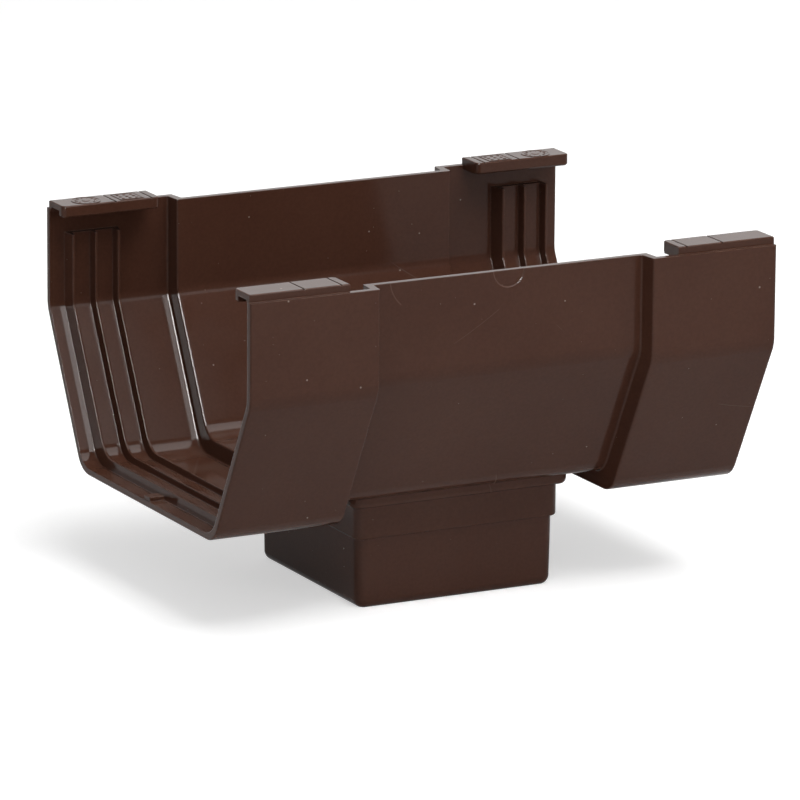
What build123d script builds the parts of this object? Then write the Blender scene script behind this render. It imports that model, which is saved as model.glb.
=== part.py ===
from build123d import *
import os
from math import atan2, ceil, cos, tan

# Centre outlet of a trapezoidal rain gutter, moulded in one piece of PVC. Millimetres.
# X runs along the gutter, Y across it and Z up. The origin is the centre of the spigot's lower rim.

# The trough, with a wide socket for a gutter at each end and a narrower middle
overall_length = 200.6
wall = 2.4
half_width = 80.5
bottom_half_width = 52.7
bend_height = 53.6
side_height = 88.8
bend_radius = 10.0
corner_radius = 9.5
inner_corner_radius = 9.5
end_round = 0.4
joggle_side = 6.6
joggle_floor = 6.1
joggle_run = 0.8
joggle_inner_run = 0.45
joggle_web = 2.4
joggle_round = 0.8
joggle_fillet = 1.0

# Sealing ribs that run round the inside of each socket, on a slightly raised seat
rib_count = 3
rib_first = 6.7
rib_pitch = 8.7
rib_crest = 0.9
rib_flank = 0.5
rib_inner_flank = 1.6
rib_side_height = 5.8
rib_floor_height = 3.7
rib_round = 0.3
seat_side_rise = 2.4
seat_floor_rise = 1.4
rib_top_gap = 8.9

# Clips over the four corners, which hold the rims of the gutters
clip_gap = 8.05
clip_end_gap = 0.3
clip_rise = 2.7
clip_width = 11.5
clip_setback = 1.5
clip_plate = 2.0
clip_gusset = 1.3
clip_web = 1.6
clip_corner = 1.7
clip_bevel = 0.3
lip_thickness = 3.1
lip_height = 4.2
lip_bevel = 0.55
clip_groove_places = (20.3, 34.2)
clip_groove_width = 0.6
clip_groove_depth = 0.4

# The outlet: a flange under the floor, a collar and the spigot that a square downpipe slips over
spigot_width = 75.5
spigot_root_width = 76.2
spigot_length = 24.85
spigot_wall = 2.4
spigot_corner = 3.8
spigot_lead_in = 3.4
spigot_rim = 0.35
shoulder = 1.3
collar_height = 11.55
collar_corner = 3.8
collar_round = 0.9
flange_reach = 2.5
flange_height = 4.3
flange_corner = 3.5
flange_round = 2.0
mouth_round = 3.0
outlet_margin = 15.15

# Marks left by the mould
gate_radius = 5.9
gate_depth = 0.2
stub_width = 4.5
stub_length = 6.2
stub_height = 1.4

# Longest straight step along a rounded edge that runs across the trough
round_step = 0.35

# Heights and places that follow
collar_width = spigot_root_width + 2 * shoulder
flange_width = collar_width + 2 * flange_reach
middle_underside = spigot_length + collar_height + flange_height
trough_underside = middle_underside - joggle_floor
wall_top = trough_underside + side_height
clip_top = wall_top + clip_rise
rib_top = wall_top - rib_top_gap
floor_top = middle_underside + wall
half_length = overall_length / 2
socket_depth = half_length - collar_width / 2 - outlet_margin
clip_length = socket_depth - clip_gap - clip_end_gap
slant = atan2(half_width - bottom_half_width, bend_height)
joggle_start = half_length - socket_depth - joggle_web
clearance = 5.0


def section(x, side_inset, floor_inset, depth=0.0, corner=corner_radius, top=wall_top):
    """Cross-section at x. The insets draw the outside in, and depth is how far under it the line lies."""
    side = half_width - side_inset - depth
    shift = (side_inset + depth) / cos(slant)
    bend = trough_underside + (side - bottom_half_width + shift) / tan(slant)
    low = trough_underside + floor_inset + depth
    foot = bottom_half_width + (low - trough_underside) * tan(slant) - shift
    points = [(-side, top), (-side, bend), (-foot, low), (foot, low), (side, bend), (side, top)]
    radii = [bend_radius - depth, corner, corner, bend_radius - depth]
    outline = FilletPolyline(*points, radius=radii) + Line(points[-1], points[0])
    return Plane.YZ.offset(x) * make_face(outline)


def eased(stations):
    """Stations (x, side inset, floor inset) with each corner of the row rounded by its fourth value."""
    row = [Vector(*station[:3]) for station in stations]
    curve = [row[0]]
    for before, corner, after, station in zip(row, row[1:], row[2:], stations[1:]):
        reach = station[3]
        steps = ceil(reach / round_step) + 1
        start = corner + (before - corner) * min(reach / (before - corner).length, 0.45)
        end = corner + (after - corner) * min(reach / (after - corner).length, 0.45)
        for step in range(steps + 1):
            t = step / steps
            curve.append(start * (1 - t) ** 2 + corner * (2 * t * (1 - t)) + end * t ** 2)
    return curve + [row[-1]]


def tunnel(stations, **inside):
    """Solid through a row of stations, each a distance along X, the two insets there and the rounding."""
    return loft([section(*place, **inside) for place in eased(stations)], ruled=True)


def both_ways(stations):
    """The stations from the +X end to the middle, and on to the -X end."""
    return stations + [(-x, *rest) for x, *rest in reversed(stations)]


def both_ends(solid):
    """The solid and its mirror image at the other end."""
    return solid + mirror(solid, about=Plane.YZ)


def outer_body():
    """The outside of the trough, still solid."""
    return tunnel(both_ways([
        (half_length, end_round, end_round, 0),
        (half_length - end_round, 0, 0, end_round / 2),
        (joggle_start, 0, 0, joggle_round),
        (joggle_start - joggle_run, joggle_side, joggle_floor, joggle_round),
    ]))


def rib_rows():
    """The ribs of a socket, from its mouth inwards: a depth, the two insets there and the rounding."""
    wide = (0, 0, rib_round)
    seat = (seat_side_rise, seat_floor_rise, rib_round)
    crest = (rib_side_height, rib_floor_height, rib_round)
    rows = []
    for number in range(rib_count):
        centre = rib_first + number * rib_pitch
        last = number == rib_count - 1
        after = rib_inner_flank if last else rib_flank
        rows += [
            (centre - rib_crest / 2 - rib_flank, *(seat if number else wide)),
            (centre - rib_crest / 2, *crest),
            (centre + rib_crest / 2, *crest),
            (centre + rib_crest / 2 + after, *(wide if last else seat)),
        ]
    return rows


def hollow():
    """The space inside the trough, open at the top and at both ends."""
    inside = {"depth": wall, "corner": inner_corner_radius, "top": clip_top + clearance}
    mouth = [(-clearance, 0, 0, 0)]
    joggle = [
        (socket_depth, 0, 0, joggle_fillet),
        (socket_depth + joggle_inner_run, joggle_side, joggle_floor, joggle_round),
    ]
    rows = mouth + rib_rows() + joggle
    space = tunnel(both_ways([(half_length - depth, *rest) for depth, *rest in rows]), **inside)
    ribs_end = half_length - rib_first - rib_count * rib_pitch
    plain = tunnel([(half_length + clearance, 0, 0), (ribs_end, 0, 0)], **inside)
    above_ribs = Pos(0, 0, rib_top) * Box(
        2 * overall_length,
        4 * half_width,
        2 * side_height,
        align=(Align.CENTER, Align.CENTER, Align.MIN),
    )
    return space + both_ends(plain & above_ribs)


def clip():
    """One clip at the +X end of the +Y wall: a plate on top of the wall with a lip turned down inside."""
    outer = half_width - clip_setback
    lip_inner = outer - clip_width
    lip_outer = lip_inner + lip_thickness
    wall_inner = half_width - wall
    under_plate = clip_top - clip_plate
    lip_bottom = clip_top - lip_height
    hook = make_face(
        Polyline(
            (wall_inner, wall_top - clip_gusset),
            (outer, wall_top - clip_gusset),
            (outer, clip_top),
            (lip_inner, clip_top),
            (lip_inner, lip_bottom),
            (lip_outer, lip_bottom),
            (lip_outer, under_plate),
            (wall_inner - clip_gusset, under_plate),
            close=True,
        )
    )
    end = half_length - clip_end_gap
    start = end - clip_length
    bar = extrude(Plane.YZ.offset(start) * hook, clip_length)
    web = Pos(start, lip_outer - lip_thickness / 2, lip_bottom) * Box(
        clip_web,
        outer - lip_outer + lip_thickness / 2,
        lip_height - clip_plate / 2,
        align=Align.MIN,
    )
    bar = fillet(
        bar.edges().filter_by(Axis.Z).filter_by(lambda edge: abs(edge.center().Y - lip_inner) < 0.01),
        clip_corner,
    )
    bar = chamfer(bar.faces().sort_by(Axis.Z)[-1].edges(), clip_bevel)
    bar = chamfer(bar.faces().sort_by(Axis.Z)[0].edges().sort_by(Axis.Y)[:1], lip_bevel)
    grooves = [
        Pos(end - place, outer - clip_width / 2, clip_top)
        * Box(clip_groove_width, 2 * clip_width, 2 * clip_groove_depth)
        for place in clip_groove_places
    ]
    return bar + web - grooves


def square_block(low, high, width, corner):
    """Upright square block with rounded corners."""
    return extrude(Pos(0, 0, low) * RectangleRounded(width, width, corner), high - low)


def lower_rim(solid):
    """Edges of the solid's bottom face."""
    return solid.faces().sort_by(Axis.Z)[0].edges()


def outlet():
    """Flange, collar and tapered spigot under the middle of the trough, still solid."""
    flange_bottom = spigot_length + collar_height
    inside = middle_underside + wall / 2
    flange = square_block(flange_bottom, inside, flange_width, flange_corner)
    flange = fillet(lower_rim(flange), flange_round)
    collar = square_block(spigot_length, inside, collar_width, collar_corner)
    collar = fillet(lower_rim(collar), collar_round)
    taper = (spigot_root_width - spigot_width) / spigot_length
    buried = spigot_length + collar_height / 2
    tip_width = spigot_width - taper * spigot_rim
    buried_width = spigot_width + taper * buried
    spigot = loft([
        Pos(0, 0, -spigot_rim) * RectangleRounded(tip_width, tip_width, spigot_corner),
        Pos(0, 0, buried) * RectangleRounded(buried_width, buried_width, spigot_corner),
    ])
    spigot = fillet(lower_rim(spigot), spigot_lead_in)
    spigot -= Pos(0, 0, -spigot_rim) * Box(2 * spigot_width, 2 * spigot_width, 2 * spigot_rim)
    return flange + collar + spigot


def bore():
    """The way down through the floor, with a funnel where the collar narrows to the spigot."""
    taper = (spigot_root_width - spigot_width) / spigot_length
    corner = spigot_corner - spigot_wall / 2
    funnel_low = spigot_length + wall
    funnel_high = funnel_low + shoulder
    wide = collar_width - 2 * wall

    def hole(z, width):
        return Pos(0, 0, z) * RectangleRounded(width, width, corner)

    def tapered_hole(z):
        return hole(z, spigot_width - 2 * spigot_wall + taper * z)

    spigot_bore = loft([tapered_hole(-clearance), tapered_hole(funnel_low)])
    funnel = loft([tapered_hole(funnel_low), hole(funnel_high, wide)])
    collar_bore = extrude(hole(funnel_high, wide), floor_top + clearance - funnel_high)
    return spigot_bore + funnel + collar_bore


def round_mouth(body):
    """The body with the upper edge of its outlet hole rounded over."""
    reach = collar_width / 2
    rim = [
        edge
        for edge in body.edges()
        if abs(edge.center().Z - floor_top) < 0.01 and abs(edge.center().X) < reach and abs(edge.center().Y) < reach
    ]
    return fillet(rim, mouth_round)


def gate_mark():
    """Half-disc print of the mould at the top of the -Y wall of the middle."""
    face = Plane.XZ.offset(half_width - joggle_side - gate_depth)
    return extrude(face * Pos(0, wall_top) * Circle(gate_radius), 2 * gate_depth)


def gate_stub():
    """Stub left on the floor just inside the -X end, where the plastic was fed in."""
    return Pos(end_round - half_length, 0, trough_underside + wall / 2) * Box(
        stub_length,
        stub_width,
        wall / 2 + stub_height,
        align=(Align.MIN, Align.CENTER, Align.MIN),
    )


body = outer_body() + outlet()
body -= hollow()
corner_clip = both_ends(clip())
body += corner_clip + mirror(corner_clip, about=Plane.XZ)
body -= bore()
body = round_mouth(body)
body += gate_stub()
body -= gate_mark()

os.makedirs("parts", exist_ok=True)
export_step(body, "parts/drop_outlet.step")
print("solids", len(body.solids()), "volume", round(body.volume), "size", body.bounding_box().size)
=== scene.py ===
import bpy
import math
from mathutils import Matrix, Vector


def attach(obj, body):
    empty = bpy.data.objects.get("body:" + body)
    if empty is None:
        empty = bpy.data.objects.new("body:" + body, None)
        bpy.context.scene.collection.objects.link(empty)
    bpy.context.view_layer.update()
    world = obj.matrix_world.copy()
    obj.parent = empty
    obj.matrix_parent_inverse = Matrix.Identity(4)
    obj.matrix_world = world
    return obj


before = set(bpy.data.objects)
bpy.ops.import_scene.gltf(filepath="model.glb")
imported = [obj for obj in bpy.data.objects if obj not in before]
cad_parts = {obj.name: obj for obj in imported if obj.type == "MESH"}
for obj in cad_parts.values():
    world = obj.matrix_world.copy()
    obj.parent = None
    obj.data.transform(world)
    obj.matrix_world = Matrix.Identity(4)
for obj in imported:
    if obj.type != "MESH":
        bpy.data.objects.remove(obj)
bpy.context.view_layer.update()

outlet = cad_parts["drop_outlet"]
print("frame loaded")


def newTree(name):
    material = bpy.data.materials.new(name)
    material.use_nodes = True
    return material, material.node_tree


def fill(tree, socket, entry):
    if isinstance(entry, bpy.types.NodeSocket):
        tree.links.new(entry, socket)
    else:
        socket.default_value = entry


def addNode(tree, kind, entries=None, **settings):
    node = tree.nodes.new(kind)
    for key, value in settings.items():
        setattr(node, key, value)
    for key, entry in (entries or {}).items():
        fill(tree, node.inputs[key], entry)
    return node


def mathNode(tree, operation, *entries):
    return addNode(tree, "ShaderNodeMath", dict(enumerate(entries)), operation=operation).outputs[0]


def remap(tree, value, fromLow, fromHigh, toLow, toHigh, smooth=False):
    node = addNode(tree, "ShaderNodeMapRange", {
        "Value": value,
        "From Min": fromLow,
        "From Max": fromHigh,
        "To Min": toLow,
        "To Max": toHigh,
    }, interpolation_type="SMOOTHSTEP" if smooth else "LINEAR")
    return node.outputs["Result"]


def noise(tree, place, scale, detail=2.0, roughness=0.5, distortion=0.0):
    node = addNode(tree, "ShaderNodeTexNoise", {
        "Vector": place,
        "Scale": scale,
        "Detail": detail,
        "Roughness": roughness,
        "Distortion": distortion,
    })
    return node.outputs["Fac"]


def blend(tree, factor, first, second, mode="MIX"):
    node = addNode(
        tree, "ShaderNodeMix", {0: factor, 6: first, 7: second},
        data_type="RGBA", blend_type=mode, clamp_factor=True,
    )
    return node.outputs[2]


def blendValues(tree, factor, first, second):
    return addNode(tree, "ShaderNodeMix", {0: factor, 2: first, 3: second}, data_type="FLOAT").outputs[0]


# Glossy brown PVC
pvc = {
    "colour": (0.0565, 0.0238, 0.0152, 1),
    "deepColour": (0.0490, 0.0197, 0.0123, 1),
    "wornColour": (0.135, 0.082, 0.062, 1),
    "dustColour": (0.42, 0.36, 0.31, 1),
    "cloudScale": 16.0,
    "grainScale": 900.0,
    "grainLight": (0.94, 1.06),
    "ior": 1.5,
    "specular": 0.11,
    "roughness": 0.085,
    "smearScale": 60.0,
    "smearRoughness": (-0.015, 0.05),
    "dirtRoughness": 0.5,
    "edgeReach": 0.00045,
    "stampEdgeReach": 0.00006,
    "edgeFacing": (0.97, 0.80),     # how far the rounded normal has turned where the wear starts and is full
    "rubScale": 210.0,
    "rubWear": (0.10, 0.75),
    "waveScale": 34.0,              # long soft waves of the moulded walls
    "waveHeight": 0.00003,
    "rippleScale": 150.0,
    "rippleHeight": 0.0000035,
    "specks": {"cells": 150.0, "share": 0.28, "size": 0.052, "strength": 0.45},
    "tinySpecks": {"cells": 390.0, "share": 0.196, "size": 0.0624, "strength": 0.38},
    "smallestSpeck": 0.4,
    "filmScale": 90.0,
    "filmStrength": 0.05,           # thin dust on what faces up
    "nearWall": -0.0735,            # what lies beyond this is the outside of the near wall
    "nick": (-0.0335, 0.1245, 0.0115),
    "nickEnd": -0.0408,
    "nickStrength": 0.3,
    "halfDisc": (0.0, 0.1234, 0.0058),
    "halfDiscStrength": 0.35,
    "printLine": 0.0003,
    "scratches": (                  # centre across and up, radius: long faint arcs from handling
        (0.121, 0.212, 0.150), (-0.182, -0.031, 0.205), (-0.095, 0.244, 0.162),
    ),
    "scratchWidth": 0.00011,
    "scratchPatches": 38.0,
    "scratchStrength": 0.22,
    "scratchDepth": 0.000004,
    "lineCore": 0.4,                # share of a line's width that is at full strength
}


def speckMask(tree, place, specks, smallest):
    cells = addNode(tree, "ShaderNodeTexVoronoi", {"Vector": place, "Scale": specks["cells"]}).outputs
    split = addNode(tree, "ShaderNodeSeparateColor", {"Color": cells["Color"]}).outputs
    chosen = mathNode(tree, "LESS_THAN", split["Red"], specks["share"])
    reach = remap(tree, split["Green"], 0, 1, specks["size"] * smallest, specks["size"])
    near = mathNode(tree, "LESS_THAN", cells["Distance"], reach)
    return mathNode(tree, "MULTIPLY", mathNode(tree, "MULTIPLY", chosen, near), specks["strength"])


def ringMask(tree, axes, ring, width, core):
    centreX, centreZ, radius = ring
    across = mathNode(tree, "SUBTRACT", axes["X"], centreX)
    up = mathNode(tree, "SUBTRACT", axes["Z"], centreZ)
    acrossSquare = mathNode(tree, "MULTIPLY", across, across)
    upSquare = mathNode(tree, "MULTIPLY", up, up)
    distance = mathNode(tree, "SQRT", mathNode(tree, "ADD", acrossSquare, upSquare))
    away = mathNode(tree, "ABSOLUTE", mathNode(tree, "SUBTRACT", distance, radius))
    return remap(tree, away, width * core, width, 1.0, 0.0)


def worn(tree, values, colour, mask, strength):
    return blend(tree, mathNode(tree, "MULTIPLY", mask, strength), colour, values["wornColour"])


def pvcMaterial(values, name, edgeReach):
    material, tree = newTree(name)
    shader = tree.nodes["Principled BSDF"]
    place = addNode(tree, "ShaderNodeTexCoord").outputs["Object"]
    axes = addNode(tree, "ShaderNodeSeparateXYZ", {0: place}).outputs
    normal = addNode(tree, "ShaderNodeNewGeometry").outputs["Normal"]

    # Slightly uneven brown
    clouds = noise(tree, place, values["cloudScale"], detail=3.0)
    colour = blend(tree, remap(tree, clouds, 0.35, 0.65, 0, 1), values["colour"], values["deepColour"])
    grain = noise(tree, place, values["grainScale"], detail=1.0)
    light = remap(tree, grain, 0.3, 0.7, *values["grainLight"])
    grey = addNode(tree, "ShaderNodeCombineColor", {"Red": light, "Green": light, "Blue": light}).outputs[0]
    colour = blend(tree, 1.0, colour, grey, "MULTIPLY")

    # Edges: the rounded normal, and a paler rubbed line along them
    rounded = addNode(tree, "ShaderNodeBevel", {"Radius": edgeReach}, samples=4).outputs[0]
    facing = addNode(tree, "ShaderNodeVectorMath", {0: rounded, 1: normal}, operation="DOT_PRODUCT")
    edge = remap(tree, facing.outputs["Value"], *values["edgeFacing"], 0.0, 1.0)
    rubs = noise(tree, place, values["rubScale"], detail=3.0, roughness=0.7)
    colour = worn(tree, values, colour, edge, remap(tree, rubs, 0.42, 0.62, *values["rubWear"]))

    # Long faint scratches, broken into patches
    scratches = 0.0
    for ring in values["scratches"]:
        line = ringMask(tree, axes, ring, values["scratchWidth"], values["lineCore"])
        scratches = mathNode(tree, "MAXIMUM", line, scratches)
    patches = noise(tree, place, values["scratchPatches"], detail=2.0)
    scratches = mathNode(tree, "MULTIPLY", scratches, remap(tree, patches, 0.60, 0.66, 0.0, 1.0))
    colour = worn(tree, values, colour, scratches, values["scratchStrength"])

    # A short curved nick and the pale outline of the half-disc print on the near wall
    onNearWall = mathNode(tree, "LESS_THAN", axes["Y"], values["nearWall"])
    nick = ringMask(tree, axes, values["nick"], values["printLine"], values["lineCore"])
    nick = mathNode(tree, "MULTIPLY", nick, mathNode(tree, "LESS_THAN", axes["X"], values["nickEnd"]))
    nick = mathNode(tree, "MULTIPLY", nick, onNearWall)
    colour = worn(tree, values, colour, nick, values["nickStrength"])
    halfDisc = ringMask(tree, axes, values["halfDisc"], values["printLine"], values["lineCore"])
    halfDisc = mathNode(tree, "MULTIPLY", halfDisc, onNearWall)
    colour = worn(tree, values, colour, halfDisc, values["halfDiscStrength"])

    # Dust: specks of two sizes, and a thin film on what faces up
    specks = speckMask(tree, place, values["specks"], values["smallestSpeck"])
    tinySpecks = speckMask(tree, place, values["tinySpecks"], values["smallestSpeck"])
    facesUp = addNode(tree, "ShaderNodeSeparateXYZ", {0: normal}).outputs["Z"]
    lying = remap(tree, facesUp, 0.7, 0.95, 0.0, 1.0)
    uneven = noise(tree, place, values["filmScale"], detail=4.0)
    film = mathNode(tree, "MULTIPLY", lying, remap(tree, uneven, 0.4, 0.75, 0.0, values["filmStrength"]))
    dust = mathNode(tree, "MAXIMUM", mathNode(tree, "MAXIMUM", specks, tinySpecks), film)
    colour = blend(tree, dust, colour, values["dustColour"])

    # Gloss
    smears = noise(tree, place, values["smearScale"], detail=4.0, roughness=0.6, distortion=0.6)
    smearing = remap(tree, smears, 0.35, 0.7, *values["smearRoughness"])
    dirt = mathNode(tree, "MULTIPLY", mathNode(tree, "MAXIMUM", dust, scratches), values["dirtRoughness"])
    gloss = mathNode(tree, "ADD", mathNode(tree, "ADD", values["roughness"], smearing), dirt)

    # Soft waves of the moulding
    waves = noise(tree, place, values["waveScale"], detail=1.0)
    ripples = noise(tree, place, values["rippleScale"], detail=2.0)
    height = mathNode(
        tree, "ADD",
        mathNode(tree, "MULTIPLY", waves, values["waveHeight"]),
        mathNode(tree, "MULTIPLY", ripples, values["rippleHeight"]),
    )
    height = mathNode(tree, "SUBTRACT", height, mathNode(tree, "MULTIPLY", scratches, values["scratchDepth"]))
    bump = addNode(tree, "ShaderNodeBump", {
        "Height": height,
        "Distance": 1.0,
        "Strength": 1.0,
        "Normal": rounded,
    })

    tree.links.new(colour, shader.inputs["Base Color"])
    tree.links.new(gloss, shader.inputs["Roughness"])
    tree.links.new(bump.outputs[0], shader.inputs["Normal"])
    shader.inputs["IOR"].default_value = values["ior"]
    shader.inputs["Specular IOR Level"].default_value = values["specular"]
    return material


brownPvc = pvcMaterial(pvc, "brownPvc", pvc["edgeReach"])
stampPvc = pvcMaterial(pvc, "stampPvc", pvc["stampEdgeReach"])
outlet.data.materials.clear()
outlet.data.materials.append(brownPvc)
print("material done")


def deselectAll():
    if bpy.context.object and bpy.context.object.mode != "OBJECT":
        bpy.ops.object.mode_set(mode="OBJECT")
    bpy.ops.object.select_all(action="DESELECT")


def pickTop(piece):
    bpy.ops.object.mode_set(mode="EDIT")
    bpy.ops.mesh.select_mode(type="FACE")
    bpy.ops.mesh.select_all(action="DESELECT")
    bpy.ops.object.mode_set(mode="OBJECT")
    highest = max(face.center.z for face in piece.data.polygons)
    for face in piece.data.polygons:
        face.select = face.center.z > highest - 1e-6 and face.normal.z > 0.9
    bpy.ops.object.mode_set(mode="EDIT")


def sinkAndRaise(piece, rim, depth, boss):
    pickTop(piece)
    bpy.ops.mesh.inset(thickness=rim, depth=0)
    bpy.ops.mesh.inset(thickness=depth, depth=-depth)
    bpy.ops.mesh.inset(thickness=boss, depth=0)
    bpy.ops.mesh.inset(thickness=depth, depth=depth)
    bpy.ops.object.mode_set(mode="OBJECT")


def joinPieces(pieces, name):
    deselectAll()
    for piece in pieces:
        piece.select_set(True)
    bpy.context.view_layer.objects.active = pieces[0]
    bpy.ops.object.join()
    joined = bpy.context.object
    joined.name = name
    bpy.ops.object.transform_apply(location=True, rotation=True, scale=True)
    joined.data.materials.clear()
    joined.data.materials.append(stampPvc)
    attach(joined, "root")
    return joined


# Small dials and dotted squares moulded on the far clips
stamps = {
    "top": 0.1261,
    "height": 0.00018,
    "sunk": 0.0006,             # how far the stamp goes down into the clip
    "floorDepth": 0.7,          # the sunk floor's depth, as a share of the height
    "rim": 0.00035,
    "dialPlaces": ((-0.0886, 0.0731), (0.0892, 0.0731)),
    "dialRadius": 0.0052,
    "dialBoss": 0.62,           # shares of the radius, as the next two are
    "tickReach": 0.68,
    "tickLength": 0.24,
    "tickWidth": 0.00022,
    "tickTop": (0.8, 0.7, 1),   # a tick's top is smaller than its foot
    "ticks": 12,
    "squarePlaces": ((-0.0728, 0.0731), (0.0728, 0.0731)),
    "squareSize": 0.0088,
    "squareBoss": 0.42,         # shares of the size, as the next one is
    "dotPitch": 0.29,
    "dots": 3,
    "dotSize": 0.0011,
    "dotEdge": 0.15,
    "dotRise": 0.00004,
}


def dial(values, across, along, name):
    deep = values["height"] + values["sunk"]
    middle = values["top"] + values["height"] - deep / 2
    radius = values["dialRadius"]
    spot = (across, along, middle)
    deselectAll()
    bpy.ops.mesh.primitive_cylinder_add(vertices=40, radius=radius, depth=deep, location=spot)
    plate = bpy.context.object
    sinkAndRaise(plate, values["rim"], values["height"] * values["floorDepth"], radius * values["dialBoss"])
    parts = [plate]
    reach = radius * values["tickReach"]
    for number in range(values["ticks"]):
        turn = math.radians(360 / values["ticks"] * number)
        deselectAll()
        bpy.ops.mesh.primitive_cube_add(
            size=1,
            location=(across + reach * math.cos(turn), along + reach * math.sin(turn), middle),
            rotation=(0, 0, turn),
            scale=(radius * values["tickLength"], values["tickWidth"], deep),
        )
        tick = bpy.context.object
        pickTop(tick)
        bpy.ops.transform.resize(value=values["tickTop"])
        bpy.ops.object.mode_set(mode="OBJECT")
        parts.append(tick)
    return joinPieces(parts, name)


def dottedSquare(values, across, along, name):
    deep = values["height"] + values["sunk"]
    middle = values["top"] + values["height"] - deep / 2
    size = values["squareSize"]
    deselectAll()
    bpy.ops.mesh.primitive_cube_add(size=1, location=(across, along, middle), scale=(size, size, deep))
    plate = bpy.context.object
    bpy.ops.object.transform_apply(location=False, rotation=False, scale=True)
    sinkAndRaise(plate, values["rim"], values["height"] * values["floorDepth"], size * values["squareBoss"])
    parts = [plate]
    pitch = size * values["dotPitch"]
    radius = values["dotSize"] / 2
    for row in range(values["dots"]):
        for column in range(values["dots"]):
            spot = (across + (column - 1) * pitch, along + (row - 1) * pitch, middle)
            deselectAll()
            bpy.ops.mesh.primitive_cylinder_add(vertices=14, radius=radius, depth=deep, location=spot)
            dot = bpy.context.object
            pickTop(dot)
            bpy.ops.mesh.inset(thickness=values["dotSize"] * values["dotEdge"], depth=0)
            bpy.ops.transform.translate(value=(0, 0, values["dotRise"]))
            bpy.ops.object.mode_set(mode="OBJECT")
            parts.append(dot)
    return joinPieces(parts, name)


for number, (across, along) in enumerate(stamps["dialPlaces"], 1):
    dial(stamps, across, along, "clipDial" + str(number))
for number, (across, along) in enumerate(stamps["squarePlaces"], 1):
    dottedSquare(stamps, across, along, "clipSquare" + str(number))
print("stamps done")

# Floor, light and sky
studio = {
    "floorSize": 6.0,
    "floorColour": (0.64, 0.64, 0.64, 1),
    "floorRoughness": 0.9,
    "floorSpecular": 0.1,
    "floorGlow": 0.53,
    "floorGlowInGloss": 0.22,
    "skyForDiffuse": 0.36,
    "skyNear": 1.2,             # what the gloss mirrors low down behind the object
    "skyHigh": 0.2,             # and everywhere else
    "skyFades": (0.30, 0.60),   # upwards
    "skyStarts": (0.25, 0.65),  # towards the back
}
lamps = {
    "topBox": {"place": (0.15, -0.45, 1.35), "aim": (0, 0, 0.06), "size": (1.2, 0.9), "power": 23},
    "frontBox": {"place": (0.75, -1.7, 0.55), "aim": (0, 0, 0.06), "size": (0.9, 0.7), "power": 7},
    "sideBox": {"place": (-0.73, -1.23, 1.15), "aim": (0, 0, 0.06), "size": (0.8, 0.8), "power": 250},
    "wideCard": {"place": (0.015, -1.8, 1.55), "aim": (0.015, 0, 1.55), "size": (2.03, 1.3), "power": 26},
}


def byRay(tree, plain, inGloss, shown):
    path = addNode(tree, "ShaderNodeLightPath").outputs
    through = mathNode(tree, "MAXIMUM", path["Is Camera Ray"], path["Is Transmission Ray"])
    return blendValues(tree, through, blendValues(tree, path["Is Glossy Ray"], plain, inGloss), shown)


bpy.ops.mesh.primitive_plane_add(size=studio["floorSize"], location=(0, 0, 0))
floor = bpy.context.object
floor.name = "floor"
floorMaterial, tree = newTree("paleFloor")
floorShader = tree.nodes["Principled BSDF"]
floorShader.inputs["Base Color"].default_value = studio["floorColour"]
floorShader.inputs["Roughness"].default_value = studio["floorRoughness"]
floorShader.inputs["Specular IOR Level"].default_value = studio["floorSpecular"]
floorShader.inputs["Emission Color"].default_value = (1, 1, 1, 1)
glow = byRay(tree, 0.0, studio["floorGlowInGloss"], studio["floorGlow"])
tree.links.new(glow, floorShader.inputs["Emission Strength"])
floor.data.materials.append(floorMaterial)

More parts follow.
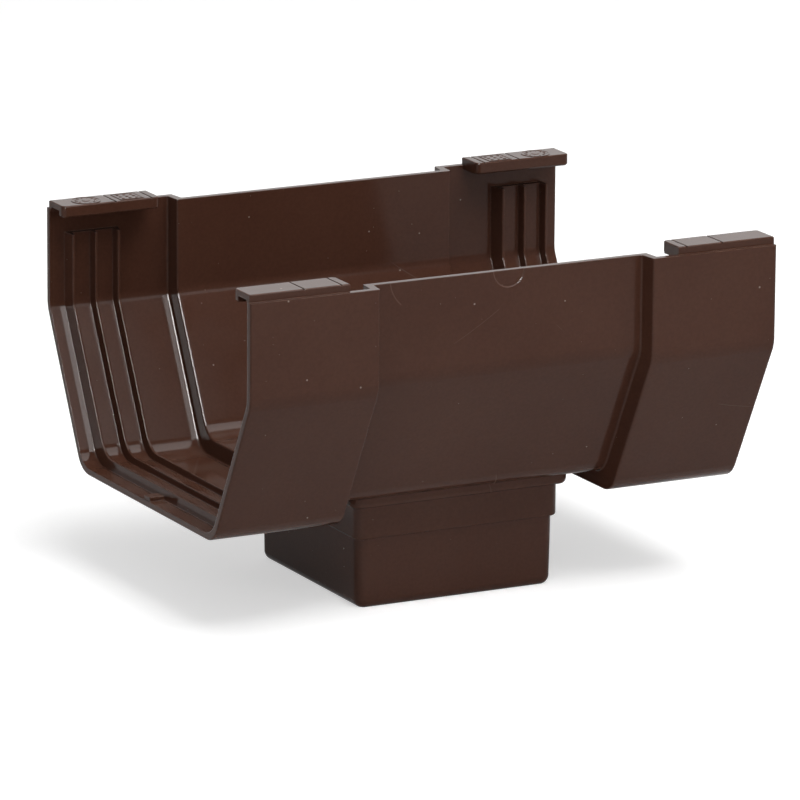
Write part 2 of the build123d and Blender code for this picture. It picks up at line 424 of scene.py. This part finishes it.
world = bpy.data.worlds.new("studioWorld")
bpy.context.scene.world = world
world.use_nodes = True
tree = world.node_tree
background = tree.nodes["Background"]
background.inputs["Color"].default_value = (1, 1, 1, 1)
direction = addNode(tree, "ShaderNodeTexCoord").outputs["Generated"]
sky = addNode(tree, "ShaderNodeSeparateXYZ", {0: direction}).outputs
low = remap(tree, sky["Z"], *studio["skyFades"], 1.0, 0.0, smooth=True)
behind = remap(tree, sky["Y"], *studio["skyStarts"], 0.0, 1.0, smooth=True)
lowBehind = mathNode(tree, "MULTIPLY", low, behind)
skyInGloss = remap(tree, lowBehind, 0.0, 1.0, studio["skyHigh"], studio["skyNear"])
tree.links.new(byRay(tree, studio["skyForDiffuse"], skyInGloss, 1.0), background.inputs["Strength"])

for name, values in lamps.items():
    data = bpy.data.lights.new(name, "AREA")
    data.shape = "RECTANGLE"
    data.size, data.size_y = values["size"]
    data.energy = values["power"]
    lamp = bpy.data.objects.new(name, data)
    bpy.context.scene.collection.objects.link(lamp)
    lamp.location = values["place"]
    shining = Vector(values["aim"]) - Vector(values["place"])
    lamp.rotation_euler = shining.to_track_quat("-Z", "Y").to_euler()
    lamp.visible_diffuse = name not in ("sideBox", "wideCard")  # these two are cards for the highlights alone
    lamp.visible_glossy = name != "frontBox"
print("light done")

# The camera, worked out from the clips and corners in the photo
camera = {
    "azimuth": 27.423,
    "elevation": 14.230,
    "roll": 0.412,
    "distance": 2.5911,
    "target": (0.00141, 0.0079, 0.0594),
    "lens": 334.7,
    "sensor": 36.0,
    "clip": (0.1, 50),
}
azimuth, elevation, roll = (math.radians(camera[key]) for key in ("azimuth", "elevation", "roll"))
forward = Vector((
    math.sin(azimuth) * math.cos(elevation),
    math.cos(azimuth) * math.cos(elevation),
    -math.sin(elevation),
))
right = Vector((math.cos(azimuth), -math.sin(azimuth), 0))
up = right.cross(forward)
tiltedRight = math.cos(roll) * right + math.sin(roll) * up
tiltedUp = -math.sin(roll) * right + math.cos(roll) * up
cameraData = bpy.data.cameras.new("camera")
cameraData.lens = camera["lens"]
cameraData.sensor_width = camera["sensor"]
cameraData.clip_start, cameraData.clip_end = camera["clip"]
cameraObject = bpy.data.objects.new("camera", cameraData)
bpy.context.scene.collection.objects.link(cameraObject)
turn = Matrix((tiltedRight, tiltedUp, -forward)).transposed().to_4x4()
cameraPlace = Vector(camera["target"]) - camera["distance"] * forward
cameraObject.matrix_world = Matrix.Translation(cameraPlace) @ turn
bpy.context.scene.camera = cameraObject
bpy.context.scene.view_settings.view_transform = "Standard"
print("camera done")
